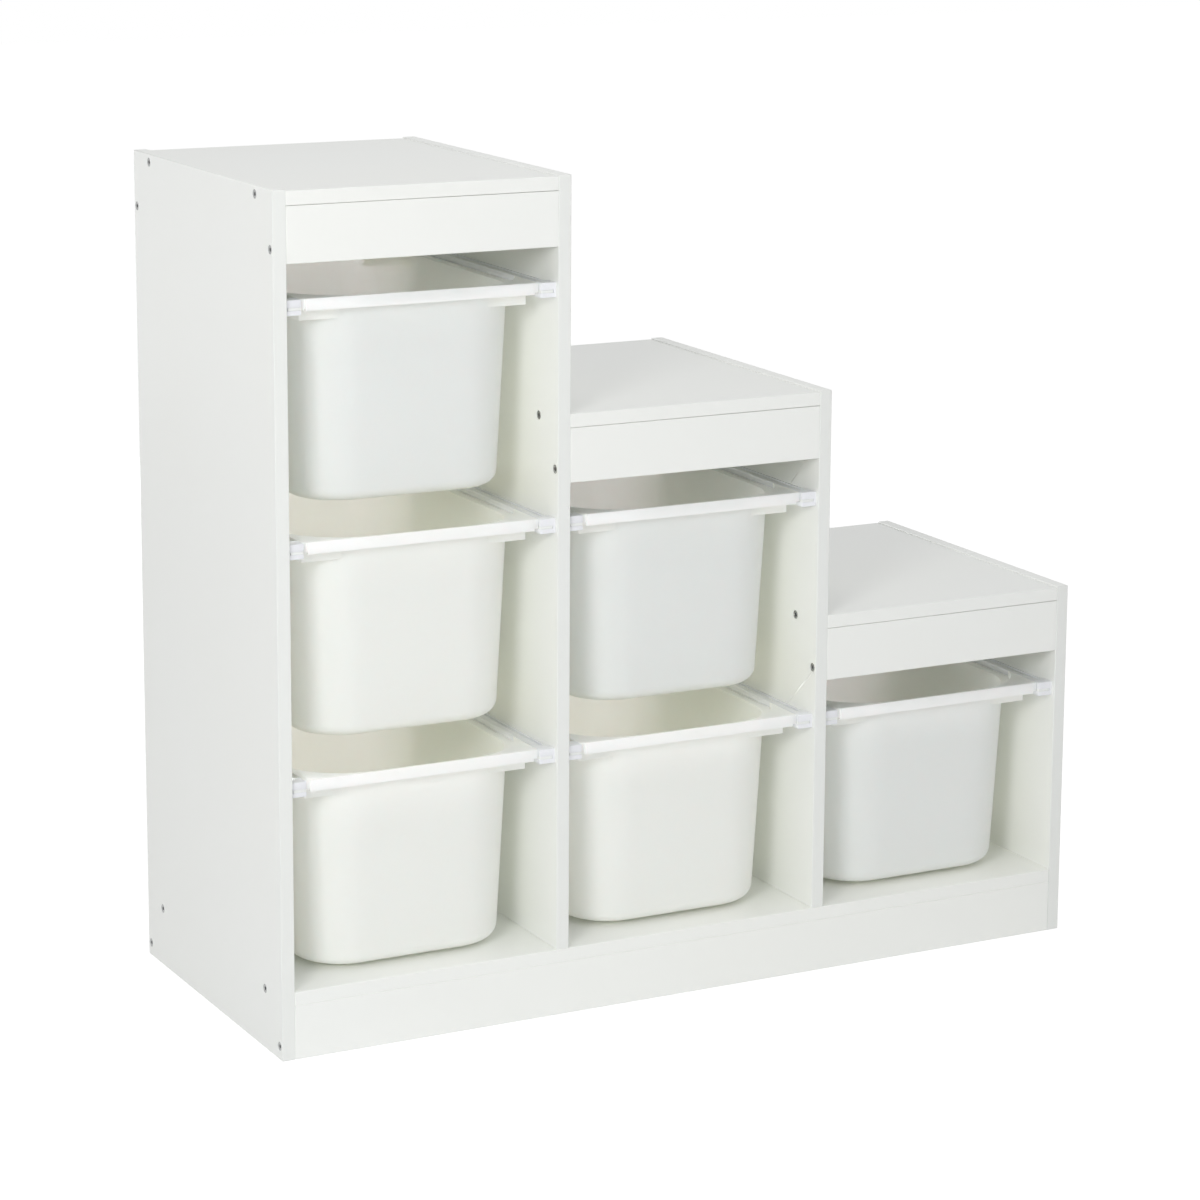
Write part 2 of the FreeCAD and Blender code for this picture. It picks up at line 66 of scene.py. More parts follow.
def newMaterial(name):
    material = bpy.data.materials.new(name)
    material.use_nodes = True
    tree = material.node_tree
    tree.nodes.clear()
    shader = addNode(tree, "ShaderNodeBsdfPrincipled")
    out = addNode(tree, "ShaderNodeOutputMaterial")
    tree.links.new(shader.outputs["BSDF"], out.inputs["Surface"])
    return material, tree, shader


def meshFrom(bm, name):
    mesh = bpy.data.meshes.new(name)
    bm.normal_update()
    bm.to_mesh(mesh)
    bm.free()
    return mesh


def newObject(name, mesh, material=None):
    thing = bpy.data.objects.new(name, mesh)
    scene.collection.objects.link(thing)
    if material:
        mesh.materials.clear()
        mesh.materials.append(material)
    return thing


def bake(thing):
    # the evaluated mesh takes the place of the object's own, and its modifiers go
    bpy.context.view_layer.update()
    graph = bpy.context.evaluated_depsgraph_get()
    mesh = bpy.data.meshes.new_from_object(thing.evaluated_get(graph))
    thing.modifiers.clear()
    old = thing.data
    thing.data = mesh
    bpy.data.meshes.remove(old)


def combine(target, tool, operation):
    # an exact boolean; the tool is used up
    cut = target.modifiers.new("cut", "BOOLEAN")
    cut.solver = "EXACT"
    cut.operation = operation
    cut.object = tool
    bake(target)
    bpy.data.objects.remove(tool)


def loft(rings, name):
    # a closed solid through rings of equally many points, with flat ends
    bm = bmesh.new()
    rows = [[bm.verts.new(p) for p in ring] for ring in rings]
    count = len(rows[0])
    for low, high in zip(rows, rows[1:]):
        for i in range(count):
            bm.faces.new((low[i], low[(i + 1) % count], high[(i + 1) % count], high[i]))
    bm.faces.new(list(reversed(rows[0])))
    bm.faces.new(rows[-1])
    bmesh.ops.recalc_face_normals(bm, faces=bm.faces)
    return newObject(name, meshFrom(bm, name))


def boxSolid(low, high, name):
    (x0, y0, z0), (x1, y1, z1) = low, high
    rings = [[(x0, y0, z), (x1, y0, z), (x1, y1, z), (x0, y1, z)] for z in (z0, z1)]
    return loft(rings, name)


def circle(radius, sides):
    turns = [k * math.tau / sides for k in range(sides)]
    return [(radius * math.cos(turn), radius * math.sin(turn)) for turn in turns]


def roundedOutline(halfX, halfY, radius, z, steps):
    # anticlockwise rounded rectangle, steps faces to each corner
    points = []
    for corner, (sx, sy) in enumerate(((1, -1), (1, 1), (-1, 1), (-1, -1))):
        for step in range(steps + 1):
            turn = math.pi / 2 * (corner - 1 + step / steps)
            points.append((sx * (halfX - radius) + radius * math.cos(turn),
                           sy * (halfY - radius) + radius * math.sin(turn), z))
    return points


def smoothUpTo(mesh, crease):
    # smooth shading, except over edges sharper than the crease in degrees
    for face in mesh.polygons:
        face.use_smooth = True
    mesh.set_sharp_from_angle(angle=math.radians(crease))


def softenEdges(thing, size):
    bevel = thing.modifiers.new("edges", "BEVEL")
    bevel.width = size["edge"]
    bevel.segments = size["edgeSteps"]
    bevel.limit_method = "ANGLE"
    bevel.angle_limit = math.radians(size["edgeAngle"])
    bevel.use_clamp_overlap = True
    bevel.miter_outer = "MITER_ARC"
    bake(thing)
    smoothUpTo(thing.data, crease=38)


def mottle(tree, shader, place, size, tones, detail=2.0):
    # the colour wanders between two tones, in patches of one size in metres
    patches = addNode(tree, "ShaderNodeTexNoise", None,
                      {"Vector": place, "Scale": 1 / size, "Detail": detail})
    tint = addNode(tree, "ShaderNodeMix", {"data_type": "RGBA"},
                   {"Factor": patches.outputs["Fac"], "A": linear(tones[0]), "B": linear(tones[1])})
    tree.links.new(tint.outputs["Result"], shader.inputs["Base Color"])


def roughen(tree, shader, place, size, strength, depth, detail=2.0):
    # relief with bumps of one size in metres
    bumps = addNode(tree, "ShaderNodeTexNoise", None,
                    {"Vector": place, "Scale": 1 / size, "Detail": detail})
    relief = addNode(tree, "ShaderNodeBump", None,
                     {"Height": bumps.outputs["Fac"], "Strength": strength, "Distance": depth})
    tree.links.new(relief.outputs["Normal"], shader.inputs["Normal"])


def makeMelamine(name, look):
    # melamine-faced particle board: hard paper laminate pressed on steel sheet, nearly matt, with
    # a fine dimple that breaks reflections, drawn coarser than the real one so that it shows
    material, tree, shader = newMaterial(name)
    place = addNode(tree, "ShaderNodeTexCoord").outputs["Object"]
    mottle(tree, shader, place, look["patch"], look["tones"])
    roughen(tree, shader, place, look["dimple"], look["lift"], look["depth"], detail=3.0)
    shader.inputs["Roughness"].default_value = look["roughness"]
    shader.inputs["IOR"].default_value = 1.5
    return material


def makePlastic(name, look):
    # injection-moulded polypropylene: satin, with the mould's spark-eroded grain, which is drawn
    # coarser than the real one so that it shows; a translucent one lets light through thin walls
    material, tree, shader = newMaterial(name)
    place = addNode(tree, "ShaderNodeTexCoord").outputs["Object"]
    mottle(tree, shader, place, look["patch"], look["tones"])
    roughen(tree, shader, place, look["grain"], look["lift"], look["depth"])
    shader.inputs["Roughness"].default_value = look["roughness"]
    shader.inputs["IOR"].default_value = 1.49
    shader.inputs["Subsurface Weight"].default_value = look["translucent"]
    shader.inputs["Subsurface Radius"].default_value = look["spread"]
    shader.inputs["Subsurface Scale"].default_value = look["reach"]
    return material


def makeZinc():
    # zinc-plated steel, tumbled: grey and slightly uneven
    look = {"tones": ("#A0A2A2", "#C0C1C0"), "spot": 1.111 * mm, "roughness": 0.35}
    material, tree, shader = newMaterial("zincPlatedSteel")
    place = addNode(tree, "ShaderNodeTexCoord").outputs["Object"]
    mottle(tree, shader, place, look["spot"], look["tones"], detail=3.0)
    shader.inputs["Metallic"].default_value = 1.0
    shader.inputs["Roughness"].default_value = look["roughness"]
    return material


def makeBeech():
    # plain beech dowel: pale brown with fine lengthwise grain
    look = {"tones": ("#C9A06E", "#E0BF92"), "grainLong": 16.67 * mm, "grainWide": 1.111 * mm,
            "roughness": 0.6}
    material, tree, shader = newMaterial("beechDowel")
    place = addNode(tree, "ShaderNodeTexCoord").outputs["Object"]
    along, across = 1 / look["grainLong"], 1 / look["grainWide"]
    grain = addNode(tree, "ShaderNodeMapping", None, {"Vector": place, "Scale": (along, across, across)})
    mottle(tree, shader, grain.outputs["Vector"], 1.0, look["tones"])  # one unit is one grain now
    shader.inputs["Roughness"].default_value = look["roughness"]
    return material


pressed = {"patch": 333 * mm, "dimple": 1.6 * mm, "lift": 0.03, "depth": 0.1 * mm}
melamine = makeMelamine("whiteMelamineBoard", {
    **pressed, "tones": ("#EDEFED", "#ECEDE9"), "roughness": 0.42})
edgeBanding = makeMelamine("melamineEdgeBanding", {
    **pressed, "tones": ("#E5E7E5", "#E4E6E3"), "roughness": 0.45})
moulded = {"patch": 167 * mm, "grain": 0.7 * mm, "lift": 0.05, "depth": 0.05 * mm,
           "spread": (0.97, 0.87, 0.87)}
binPlastic = makePlastic("mouldedPolypropylene", {
    **moulded, "tones": ("#FEFEF9", "#FDFDF7"), "roughness": 0.38,
    "translucent": 1.0, "reach": 8 * mm})
flangeEndPlastic = makePlastic("solidPolypropylene", {
    **moulded, "tones": ("#E9EBEA", "#E8EAE8"), "roughness": 0.38,
    "translucent": 0.0, "reach": mm})
runnerPlastic = makePlastic("coolWhitePolypropylene", {
    **moulded, "tones": ("#E8E9ED", "#E6E8EC"), "roughness": 0.4,
    "translucent": 0.0, "reach": mm})
zinc = makeZinc()
beech = makeBeech()

for nodeName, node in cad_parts.items():
    if "dowels" in nodeName:
        finish = beech
    elif "screws" in nodeName:
        finish = zinc
    elif nodeName.endswith("_runner"):
        finish = runnerPlastic
    elif nodeName.endswith("_bin"):
        finish = binPlastic
    else:
        finish = melamine
    node.data.materials.clear()
    node.data.materials.append(finish)
print("materials on the carried-over pieces")


# the same driving sizes as the solids, with z from the floor and y from the front
board, columnWide, deep = 15 * mm, 310 * mm, 400 * mm
tallHigh, stepHigh, binDrop = 930 * mm, 256 * mm, 115 * mm
topReveal, railHigh, plinthHigh = 1.5 * mm, 60 * mm, 60 * mm
columnNames, rowNames = ["tall", "middle", "low"], ["low", "middle", "high"]
frontFace = -deep / 2


def columnMiddle(column):
    return (column - 1) * (columnWide + board)


def uprightLeft(number):
    return (number - 1.5) * (columnWide + board) - board / 2


def rimLevel(row):
    return tallHigh - binDrop - (2 - row) * stepHigh


def readName(nodeName):
    # column and row numbers of a bin or runner, from its node's name
    column, rest = nodeName.split("_column_")
    return columnNames.index(column), rowNames.index(rest.split("_")[0])


def sideOf(nodeName):
    return -1 if nodeName.endswith("left_runner") else 1


def nodesEnding(*ends):
    return [nodeName for nodeName in sorted(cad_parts) if nodeName.endswith(ends)]


def secondFinish(mesh, finish, wanted):
    # the faces that wanted picks take another finish than the rest
    mesh.materials.append(finish)
    for face in mesh.polygons:
        if wanted(face):
            face.material_index = 1


boards = {
    "seam": 0.4 * mm,  # shows as a fine dark line between a top panel and its rail
    "banded": 0.6,  # how far a face of an upright looks to the front or back to count as its edge
    "flat": (20 * mm) ** 2,  # a larger face is flat, a smaller one, such as a broken edge, is smooth
    "weld": 0.001 * mm, "level": 0.5, "near": 0.01 * mm,
}


def makeBoardMesh(node, lower):
    # the solid's own mesh, merged, with its top lowered
    s = boards
    bm = bmesh.new()
    bm.from_mesh(node.data)
    bm.transform(node.matrix_world)
    bmesh.ops.remove_doubles(bm, verts=bm.verts, dist=s["weld"])
    bmesh.ops.dissolve_limit(bm, angle_limit=math.radians(s["level"]), verts=bm.verts, edges=bm.edges)
    top = max(vert.co.z for vert in bm.verts)
    for vert in bm.verts:
        if vert.co.z > top - s["near"]:
            vert.co.z -= lower
    for face in bm.faces:
        face.smooth = face.calc_area() < s["flat"]
    return meshFrom(bm, node.name)


for nodeName in nodesEnding("side_panel", "_divider", "_rail"):
    upright = not nodeName.endswith("_rail")
    mesh = makeBoardMesh(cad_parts[nodeName], 0 if upright else boards["seam"])
    piece = newObject(nodeName + "_board", mesh, melamine)
    if upright:
        # edge banding comes out a little greyer than the board's sides
        secondFinish(piece.data, edgeBanding, lambda face: abs(face.normal.y) > boards["banded"])
    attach(piece, "frame")
    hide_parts(nodeName)
print("uprights and rails")


def tubRings(size, inset, low):
    # the tub's outside, or with an inset its inside, from the flange down over its rounded floor edge
    slope = math.tan(math.radians(size["draft"]))
    radius = size["floorRound"] - inset
    top = -size["flangeTop"]
    rings = []

    def ring(z, shrink):
        draw = (top - z) * slope + inset + shrink
        return roundedOutline(size["halfWidth"] - draw, size["halfLength"] - draw,
                              size["round"] - draw, z, size["cornerSteps"])

    for step in range(size["wallSteps"] + 1):
        rings.append(ring(top + (low + radius - top) * step / size["wallSteps"], 0))
    for step in range(1, size["floorSteps"] + 1):
        turn = math.pi / 2 * step / size["floorSteps"]
        rings.append(ring(low + radius * (1 - math.sin(turn)), radius * (1 - math.cos(turn))))
    return rings


def roundedSolid(halfX, halfY, radius, low, high, name, steps):
    return loft([roundedOutline(halfX, halfY, radius, z, steps) for z in (low, high)], name)


def makeBinMesh():
    # z is 0 at the raised rim; each piece sinks a little into the next, so that no faces coincide,
    # and a short tab at each end of a bar closes the gap to the runner's block
    s = {
        "halfWidth": 131.6 * mm, "halfLength": 173.6 * mm, "high": 223.5 * mm, "round": 71.6 * mm,
        "draft": 3.1, "floorRound": 14 * mm, "wall": 2.5 * mm,
        "flangeTop": 8 * mm, "flangeThick": 3 * mm,
        "flangeHalfWidth": 151.6 * mm, "flangeHalfLength": 184 * mm, "tongueFront": 190.8 * mm,
        "rimHalfWidth": 136.4 * mm, "rimThick": 3 * mm, "opening": 140.4 * mm, "openingRound": 85 * mm,
        "barHalfWidth": 131 * mm, "barHalfLength": 189 * mm, "barHigh": 12.5 * mm, "barWall": 3 * mm,
        "tabFar": 136.2 * mm, "tabFront": 187 * mm, "tabBack": 181 * mm, "tabHigh": 10.5 * mm,
        "skirtHalfWidth": 130.3 * mm, "skirtHalfLength": 168 * mm, "skirtLow": 25.5 * mm,
        "skirtWall": 2 * mm, "sink": 0.4 * mm, "over": 1 * mm,
        "edge": 0.7 * mm, "edgeSteps": 3, "edgeAngle": 35,
        "cornerSteps": 28, "wallSteps": 6, "floorSteps": 8,
    }
    steps, sink, over = s["cornerSteps"], s["sink"], s["over"]
    flangeTop, flangeLow = -s["flangeTop"], -s["flangeTop"] - s["flangeThick"]
    body = boxSolid((-s["flangeHalfWidth"], -s["flangeHalfLength"], flangeLow),
                    (s["flangeHalfWidth"], s["flangeHalfLength"], flangeTop), "binShell")
    rim = roundedSolid(s["opening"] + s["rimThick"], s["barHalfLength"] - sink,
                       s["openingRound"] + s["rimThick"], flangeTop - sink, -sink, "rimWall", steps)
    plate = boxSolid((-s["rimHalfWidth"], -s["flangeHalfLength"] - sink, -s["rimThick"]),
                     (s["rimHalfWidth"], s["flangeHalfLength"] + sink, 0), "rimPlate")
    for side in (-1, 1):
        x0, x1 = sorted((side * s["rimHalfWidth"], side * (s["flangeHalfWidth"] + over)))
        combine(rim, boxSolid((x0, -s["tongueFront"], flangeTop - over),
                              (x1, s["tongueFront"], over), "side"), "DIFFERENCE")
    combine(rim, plate, "UNION")
    combine(body, rim, "UNION")
    for side in (-1, 1):
        x0, x1 = sorted((side * (s["rimHalfWidth"] + over), side * s["flangeHalfWidth"]))
        combine(body, boxSolid((x0, -s["tongueFront"], flangeLow),
                               (x1, over - s["flangeHalfLength"], flangeTop), "tongue"), "UNION")
    for end in (-1, 1):
        y0, y1 = sorted((end * s["barHalfLength"], end * (s["flangeHalfLength"] - sink)))
        combine(body, boxSolid((-s["barHalfWidth"], y0, -s["barHigh"]),
                               (s["barHalfWidth"], y1, 0.5 * sink), "bar"), "UNION")
        y0, y1 = sorted((end * s["tabFront"], end * s["tabBack"]))
        combine(body, boxSolid((-s["tabFar"], y0, -s["tabHigh"]),
                               (s["tabFar"], y1, -0.5 * sink), "tabs"), "UNION")
    combine(body, roundedSolid(s["opening"], s["barHalfLength"] - s["barWall"], s["openingRound"],
                               flangeTop, over, "opening", steps), "DIFFERENCE")
    skirt = boxSolid((-s["skirtHalfWidth"], -s["skirtHalfLength"], -s["skirtLow"]),
                     (s["skirtHalfWidth"], s["skirtHalfLength"], flangeLow + sink), "skirt")
    insideX, insideY = s["skirtHalfWidth"] - s["skirtWall"], s["skirtHalfLength"] - s["skirtWall"]
    combine(skirt, boxSolid((-insideX, -insideY, -s["skirtLow"] - over),
                            (insideX, insideY, over), "hollow"), "DIFFERENCE")
    combine(body, skirt, "UNION")
    tub = tubRings(s, 0, -s["high"])
    tub[0] = [(x, y, z - sink) for x, y, z in tub[0]]
    combine(body, loft(tub, "tub"), "UNION")
    inner = tubRings(s, s["wall"], s["wall"] - s["high"])
    inner.insert(0, [(x, y, over) for x, y, z in inner[0]])
    combine(body, loft(inner, "inside"), "DIFFERENCE")
    softenEdges(body, s)
    mesh = body.data
    bpy.data.objects.remove(body)
    return mesh


binSetBack = 197 * mm  # from the frame's front to the middle of a bin
flangeEndX, flangeEndY = 136.6 * mm, 180 * mm  # beyond both, the solid ends of the flanges
binMesh = makeBinMesh()
binMesh.materials.append(binPlastic)
secondFinish(binMesh, flangeEndPlastic,
             lambda face: abs(face.center.x) > flangeEndX and abs(face.center.y) > flangeEndY)
for nodeName in nodesEnding("_bin"):
    column, row = readName(nodeName)
    mesh = binMesh.copy()
    mesh.transform(Matrix.Translation((columnMiddle(column), frontFace + binSetBack, rimLevel(row))))
    piece = newObject(nodeName + "_shell", mesh)
    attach(piece, nodeName + "_body")
    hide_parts(nodeName)
print("bins", len(binMesh.polygons), "faces each")


runner = {
    "setBack": 6 * mm, "wide": 18 * mm, "high": 16 * mm, "long": 384 * mm, "web": 2.6 * mm,
    "block": 18 * mm, "stop": 6 * mm, "inset": 3 * mm, "drop": 1.5 * mm, "grooveEdge": 6.5 * mm,
    "grooveDeep": 4 * mm, "slotTop": 7.8 * mm, "slotHigh": 3.4 * mm, "bore": 6.5 * mm, "boreSides": 24,
    "boreFirst": 54 * mm, "borePitch": 270 * mm, "boreShift": 12 * mm, "skin": 0.1 * mm, "over": 1 * mm,
    "edge": 0.45 * mm, "edgeSteps": 2, "edgeAngle": 40,
}
slotMiddle = runner["slotTop"] + runner["slotHigh"] / 2


def boreLines(side):
    # how far behind its front a runner is bored for its two screws; the right one's are shifted,
    # so that the screws of two runners on one divider don't meet
    shift = runner["boreShift"] if side > 0 else 0
    return [runner["boreFirst"] + n * runner["borePitch"] + shift for n in range(2)]


def makeRunnerMesh(side):
    # x is 0 at the wall and grows into the column; side -1 hangs on the column's left
    s, over = runner, runner["over"]
    rail, far, slotEnd = s["wide"] - s["inset"], s["wide"] + over, s["long"] - s["stop"]
    body = boxSolid((0, 0, -s["high"]), (s["wide"], s["long"], 0), "runner")
    cuts = [  # past the block a lower and narrower rail, then the flange's slot and the groove on top
        ((rail, s["block"], -s["high"] - over), (far, s["long"] + over, over)),
        ((-over, s["block"], -s["drop"]), (far, s["long"] + over, over)),
        ((s["web"], -over, -s["slotTop"] - s["slotHigh"]), (far, slotEnd, -s["slotTop"])),
        ((s["web"], s["block"] + s["inset"], -s["drop"] - s["grooveDeep"]),
         (s["grooveEdge"], slotEnd, over)),
    ]
    for low, high in cuts:
        combine(body, boxSolid(low, high, "cut"), "DIFFERENCE")
    for line in boreLines(side):
        rings = [[(x, line + y, z - slotMiddle) for y, z in circle(s["bore"] / 2, s["boreSides"])]
                 for x in (s["skin"], far)]
        combine(body, loft(rings, "bore"), "DIFFERENCE")
    softenEdges(body, s)
    mesh = body.data
    bpy.data.objects.remove(body)
    if side > 0:
        mesh.transform(Matrix.Scale(-1, 4, (1, 0, 0)))
        mesh.flip_normals()
    return mesh


runnerMesh = {-1: makeRunnerMesh(-1), 1: makeRunnerMesh(1)}
for nodeName in nodesEnding("_runner"):
    column, row = readName(nodeName)
    side = sideOf(nodeName)
    mesh = runnerMesh[side].copy()
    wall = columnMiddle(column) + side * columnWide / 2
    mesh.transform(Matrix.Translation((wall, frontFace + runner["setBack"], rimLevel(row))))
    piece = newObject(nodeName + "_rail", mesh, runnerPlastic)
    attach(piece, "frame")
    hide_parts(nodeName)
print("runners")


def lathe(profile, name, sides=32):
    # profile is (radius, height) pairs along the screw's axis, closed at both ends
    return loft([[(x, y, z) for x, y in circle(radius, sides)] for radius, z in profile], name)


def hexPrism(across, low, high, name):
    outline = circle(across / math.sqrt(3), 6)
    return loft([[(x, y, z) for x, y in outline] for z in (low, high)], name)


def screwThread(root, crest, start, end, pitch):
    # ridges, one to each pitch, from the shank to the tip
    ridge, tip, tipRadius = (0.42 * pitch, 0.58 * pitch), 0.6 * pitch, 0.4 * root
    rings = []
    z = start
    while z < end - pitch:
        rings += [(root, z), (crest, z + ridge[0]), (crest, z + ridge[1])]
        z += pitch
    return rings + [(root, end - tip), (tipRadius, end)]


def makeAssemblyScrew():
    # z runs from the head's face into the board
    s = {"head": 4.95 * mm, "rim": 0.35 * mm, "rimWide": 0.5 * mm, "headDeep": 3 * mm, "shank": 3.5 * mm,
         "shankEnd": 15 * mm, "threadGap": 0.5 * mm, "root": 1.9 * mm, "crest": 2.5 * mm, "end": 50 * mm,
         "pitch": 3 * mm, "socket": 4 * mm, "socketDeep": 2.4 * mm, "dish": 0.35 * mm, "sunk": 0.15 * mm}
    rimInside = s["head"] - s["rim"]
    profile = [(rimInside - s["rimWide"], s["sunk"] + s["dish"]), (rimInside, s["sunk"]),
               (s["head"], s["sunk"] + s["rim"]), (s["head"], s["headDeep"] - s["rim"]),
               (s["shank"], s["headDeep"]), (s["shank"], s["shankEnd"])]
    profile += screwThread(s["root"], s["crest"], s["shankEnd"] + s["threadGap"], s["end"], s["pitch"])
    screw = lathe(profile, "assemblyScrew")
    combine(screw, hexPrism(s["socket"], -mm, s["socketDeep"], "socket"), "DIFFERENCE")
    return screw


def makeRunnerScrew():
    s = {"head": 3.2 * mm, "rim": 0.3 * mm, "sunk": 0.05 * mm, "headDeep": 2.5 * mm, "shank": 1.7 * mm,
         "threadGap": 0.3 * mm, "root": 1.15 * mm, "crest": 1.75 * mm, "end": 14 * mm, "pitch": 1.4 * mm,
         "cross": 0.9 * mm, "crossLong": 3.6 * mm, "crossDeep": 1.5 * mm}
    profile = [(s["head"] - s["rim"], s["sunk"]), (s["head"], s["sunk"] + s["rim"]),
               (s["shank"], s["headDeep"])]
    profile += screwThread(s["root"], s["crest"], s["headDeep"] + s["threadGap"], s["end"], s["pitch"])
    screw = lathe(profile, "runnerScrew", sides=24)
    for wide, long in ((s["cross"], s["crossLong"]), (s["crossLong"], s["cross"])):
        combine(screw, boxSolid((-wide / 2, -long / 2, -mm), (wide / 2, long / 2, s["crossDeep"]), "slot"),
                "DIFFERENCE")
    return screw


def spreadTree():
    # places one object on every point, turned as the point's own attribute says
    tree = bpy.data.node_groups.new("spread", "GeometryNodeTree")
    tree.interface.new_socket("Geometry", in_out="INPUT", socket_type="NodeSocketGeometry")
    thing = tree.interface.new_socket("Thing", in_out="INPUT", socket_type="NodeSocketObject")
    finish = tree.interface.new_socket("Finish", in_out="INPUT", socket_type="NodeSocketMaterial")
    tree.interface.new_socket("Geometry", in_out="OUTPUT", socket_type="NodeSocketGeometry")
    start = addNode(tree, "NodeGroupInput")
    info = addNode(tree, "GeometryNodeObjectInfo", None, {"Object": start.outputs["Thing"]})
    turn = addNode(tree, "GeometryNodeInputNamedAttribute", {"data_type": "FLOAT_VECTOR"}, {"Name": "turn"})
    spread = addNode(tree, "GeometryNodeInstanceOnPoints", None,
                     {"Points": start.outputs["Geometry"], "Instance": info.outputs["Geometry"],
                      "Rotation": turn.outputs["Attribute"]})
    real = addNode(tree, "GeometryNodeRealizeInstances", None, {"Geometry": spread.outputs["Instances"]})
    coat = addNode(tree, "GeometryNodeSetMaterial", None,
                   {"Geometry": real.outputs["Geometry"], "Material": start.outputs["Finish"]})
    out = addNode(tree, "NodeGroupOutput")
    tree.links.new(coat.outputs["Geometry"], out.inputs["Geometry"])
    return tree, thing.identifier, finish.identifier


spreadNodes, thingInput, finishInput = spreadTree()
screwTurns = {"+X": (0, math.pi / 2, 0), "-X": (0, -math.pi / 2, 0), "+Z": (0, 0, 0)}


def spreadScrews(nodeName, prototype, places):
    # places are (x, y, z, way), where the head's face stands and which way the screw goes in
    mesh = bpy.data.meshes.new(nodeName)
    mesh.from_pydata([place[:3] for place in places], [], [])
    turns = mesh.attributes.new("turn", "FLOAT_VECTOR", "POINT")
    for n, place in enumerate(places):
        turns.data[n].vector = screwTurns[place[3]]
    group = newObject(nodeName + "_steel", mesh)
    modifier = group.modifiers.new("spread", "NODES")
    modifier.node_group = spreadNodes
    modifier[thingInput] = prototype
    modifier[finishInput] = zinc
    bake(group)
    smoothUpTo(group.data, crease=35)
    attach(group, "frame")
    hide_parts(nodeName)


screwInset, footInset = 47 * mm, 62 * mm  # from the frame's front or back
lowScrew = 15 * mm  # above the foot of a rail or plinth
frontLine, backLine = board / 2, deep - board / 2


def upperFixings(column):
    top = tallHigh - column * stepHigh - topReveal
    rail = top - board - railHigh + lowScrew
    return [(screwInset, top - board / 2), (deep - screwInset, top - board / 2),
            (frontLine, rail), (backLine, rail)]


shelfMiddle = plinthHigh + board / 2
lowerFixings = [(screwInset, shelfMiddle), (deep - screwInset, shelfMiddle),
                (frontLine, lowScrew), (backLine, lowScrew)]
assemblyScrew = makeAssemblyScrew()
for number, upright in enumerate(["left_side_panel", "tall_divider", "middle_divider", "right_side_panel"]):
    extra = lowerFixings if number in (0, 3) else []
    places = []
    if number < 3:
        places += [(uprightLeft(number), frontFace + y, z, "+X") for y, z in upperFixings(number) + extra]
    if number > 0:
        right = uprightLeft(number) + board
        places += [(right, frontFace + y, z, "-X") for y, z in upperFixings(number - 1) + extra]
    spreadScrews(upright + "_screws", assemblyScrew, places)
places = [(uprightLeft(number) + board / 2, frontFace + y, plinthHigh, "+Z")
          for number in (1, 2) for y in (footInset, deep - footInset)]
spreadScrews("divider_foot_screws", assemblyScrew, places)

runnerScrew = makeRunnerScrew()
places = []
for nodeName in nodesEnding("_runner"):
    column, row = readName(nodeName)
    side = sideOf(nodeName)
    x = columnMiddle(column) + side * (columnWide / 2 - runner["web"])
    way = "+X" if side > 0 else "-X"
    places += [(x, frontFace + runner["setBack"] + line, rimLevel(row) - slotMiddle, way)
               for line in boreLines(side)]
spreadScrews("runner_screws", runnerScrew, places)
for prototype in (assemblyScrew, runnerScrew):
    bpy.data.objects.remove(prototype)
print("screws")


def seenDirectly(tree):
    # 1 for rays from the camera, a mirror or glass, and 0 for the rays that light the object
    path = addNode(tree, "ShaderNodeLightPath")
    seen = path.outputs["Is Camera Ray"]
    for name in ("Is Glossy Ray", "Is Transmission Ray"):
        either = addNode(tree, "ShaderNodeMath", {"operation": "MAXIMUM"}, {0: seen, 1: path.outputs[name]})
        seen = either.outputs[0]
    return seen


def makeStage():
    # pale floor: it bounces light as plain paper does, and looks nearly white with a faint shadow
    look = {"half": 12, "paper": "#F4F4F4", "shadowShare": 0.16, "glow": 0.94}
    material, tree, shader = newMaterial("paperSweep")
    seen = seenDirectly(tree)
    dim = [look["shadowShare"]] * 3 + [1.0]
    tone = addNode(tree, "ShaderNodeMix", {"data_type": "RGBA"},
                   {"Factor": seen, "A": linear(look["paper"]), "B": dim})
    glow = addNode(tree, "ShaderNodeMath", {"operation": "MULTIPLY"}, {0: seen, 1: look["glow"]})
    tree.links.new(tone.outputs["Result"], shader.inputs["Base Color"])
    tree.links.new(glow.outputs[0], shader.inputs["Emission Strength"])
    shader.inputs["Emission Color"].default_value = (1, 1, 1, 1)
    shader.inputs["Roughness"].default_value = 1.0
    shader.inputs["Specular IOR Level"].default_value = 0.0
    bm = bmesh.new()
    bmesh.ops.create_grid(bm, x_segments=1, y_segments=1, size=look["half"])
    floor = newObject("floor", meshFrom(bm, "floor"), material)


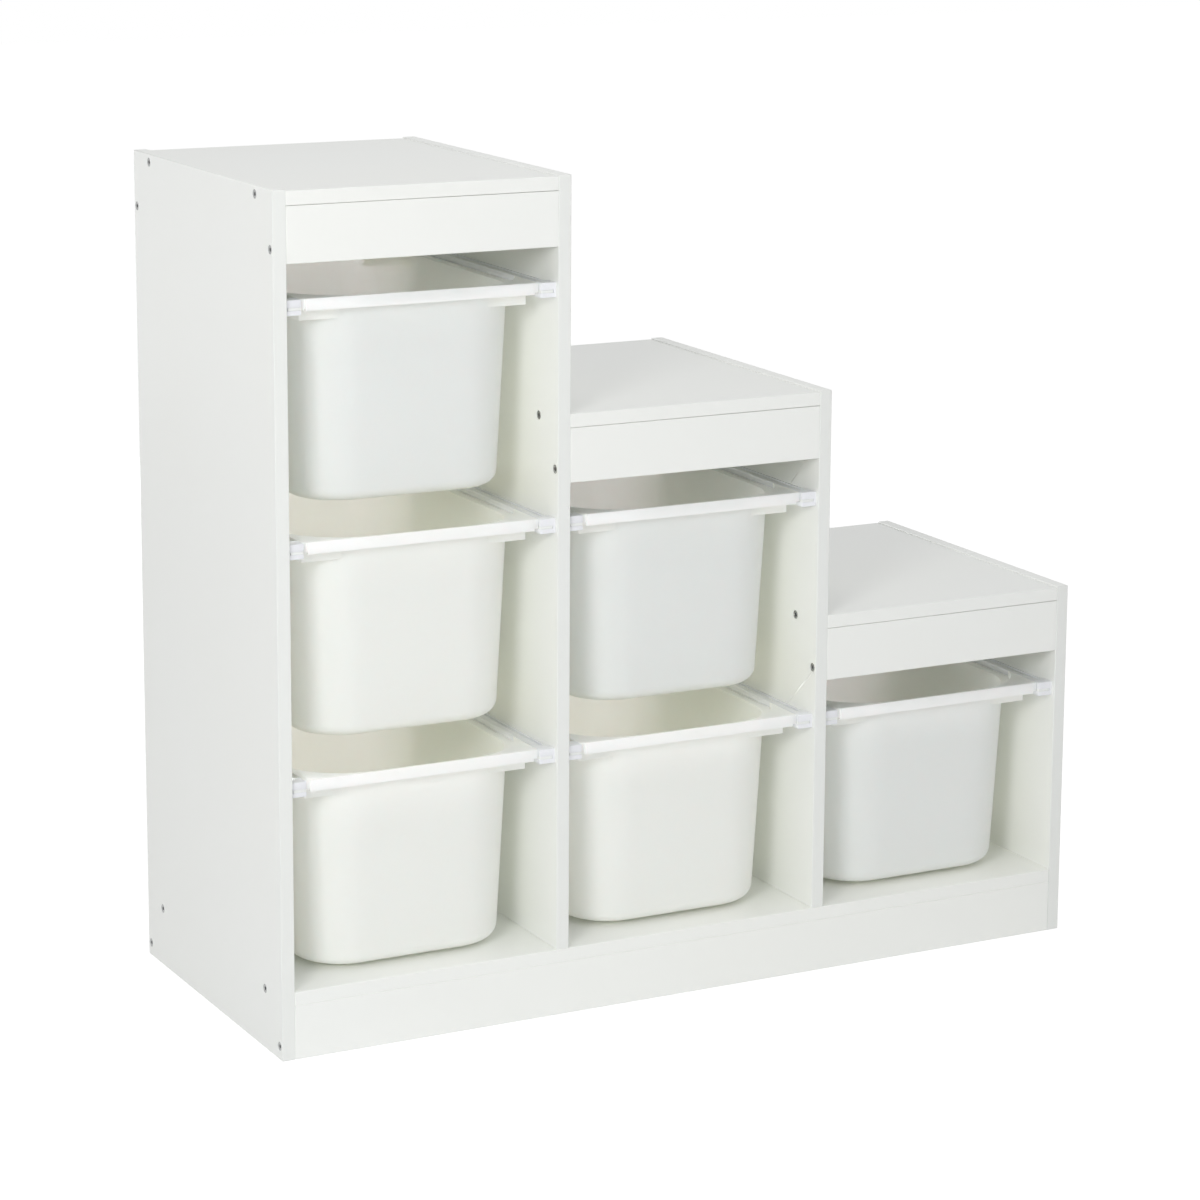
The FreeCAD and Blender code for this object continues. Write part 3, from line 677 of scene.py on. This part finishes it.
def areaLamp(name, turn, rise, far, size, power):
    # turn goes round from the front towards the tall side, rise up from the object's middle
    middle = Vector((0, 0, 0.45))
    lamp = bpy.data.lights.new(name, "AREA")
    lamp.shape = "RECTANGLE"
    lamp.size, lamp.size_y = size
    lamp.energy = power
    thing = bpy.data.objects.new(name, lamp)
    scene.collection.objects.link(thing)
    thing.visible_camera = False
    turn, rise = math.radians(turn), math.radians(rise)
    away = Vector((-math.sin(turn) * math.cos(rise), -math.cos(turn) * math.cos(rise), math.sin(rise)))
    thing.location = middle + away * far
    thing.rotation_euler = (-away).to_track_quat("-Z", "Y").to_euler()


def makeWorld(strength):
    world = bpy.data.worlds.new("studio")
    scene.world = world
    world.use_nodes = True
    tree = world.node_tree
    tree.nodes.clear()
    level = addNode(tree, "ShaderNodeMapRange", None,
                    {"Value": seenDirectly(tree), "To Min": strength, "To Max": 1.0})
    light = addNode(tree, "ShaderNodeBackground", None,
                    {"Color": (1, 1, 1, 1), "Strength": level.outputs["Result"]})
    out = addNode(tree, "ShaderNodeOutputWorld")
    tree.links.new(light.outputs["Background"], out.inputs["Surface"])


def makeCamera():
    # the photograph's place, found from the straight edges of the frame
    view = {"place": (-1.9196, -3.6827, 1.3952), "turn": (78.508, -0.55, -28.482),
            "lens": 111.37, "sensor": 36, "shift": (-0.0667, -0.1)}
    camera = bpy.data.cameras.new("camera")
    camera.lens = view["lens"]
    camera.sensor_width = view["sensor"]
    camera.sensor_fit = "HORIZONTAL"
    camera.shift_x, camera.shift_y = view["shift"]
    thing = bpy.data.objects.new("camera", camera)
    scene.collection.objects.link(thing)
    thing.location = view["place"]
    thing.rotation_euler = Euler([math.radians(a) for a in view["turn"]])
    scene.camera = thing


scene.view_settings.view_transform = "Standard"
makeStage()
bounces = 24  # light is passed on many times inside a white bin
scene.cycles.max_bounces = bounces
scene.cycles.diffuse_bounces = bounces
makeWorld(strength=0.5)
# degrees, metres and watts
areaLamp("key", turn=46, rise=20, far=3.6, size=(0.9, 0.9), power=40)
areaLamp("front", turn=16, rise=9, far=3.2, size=(1.2, 0.9), power=10)
areaLamp("over", turn=0, rise=78, far=3.0, size=(1.6, 1.2), power=16)
areaLamp("behind", turn=180, rise=0, far=3.0, size=(1.6, 0.7), power=42)
makeCamera()
print("stage, lamps and camera")
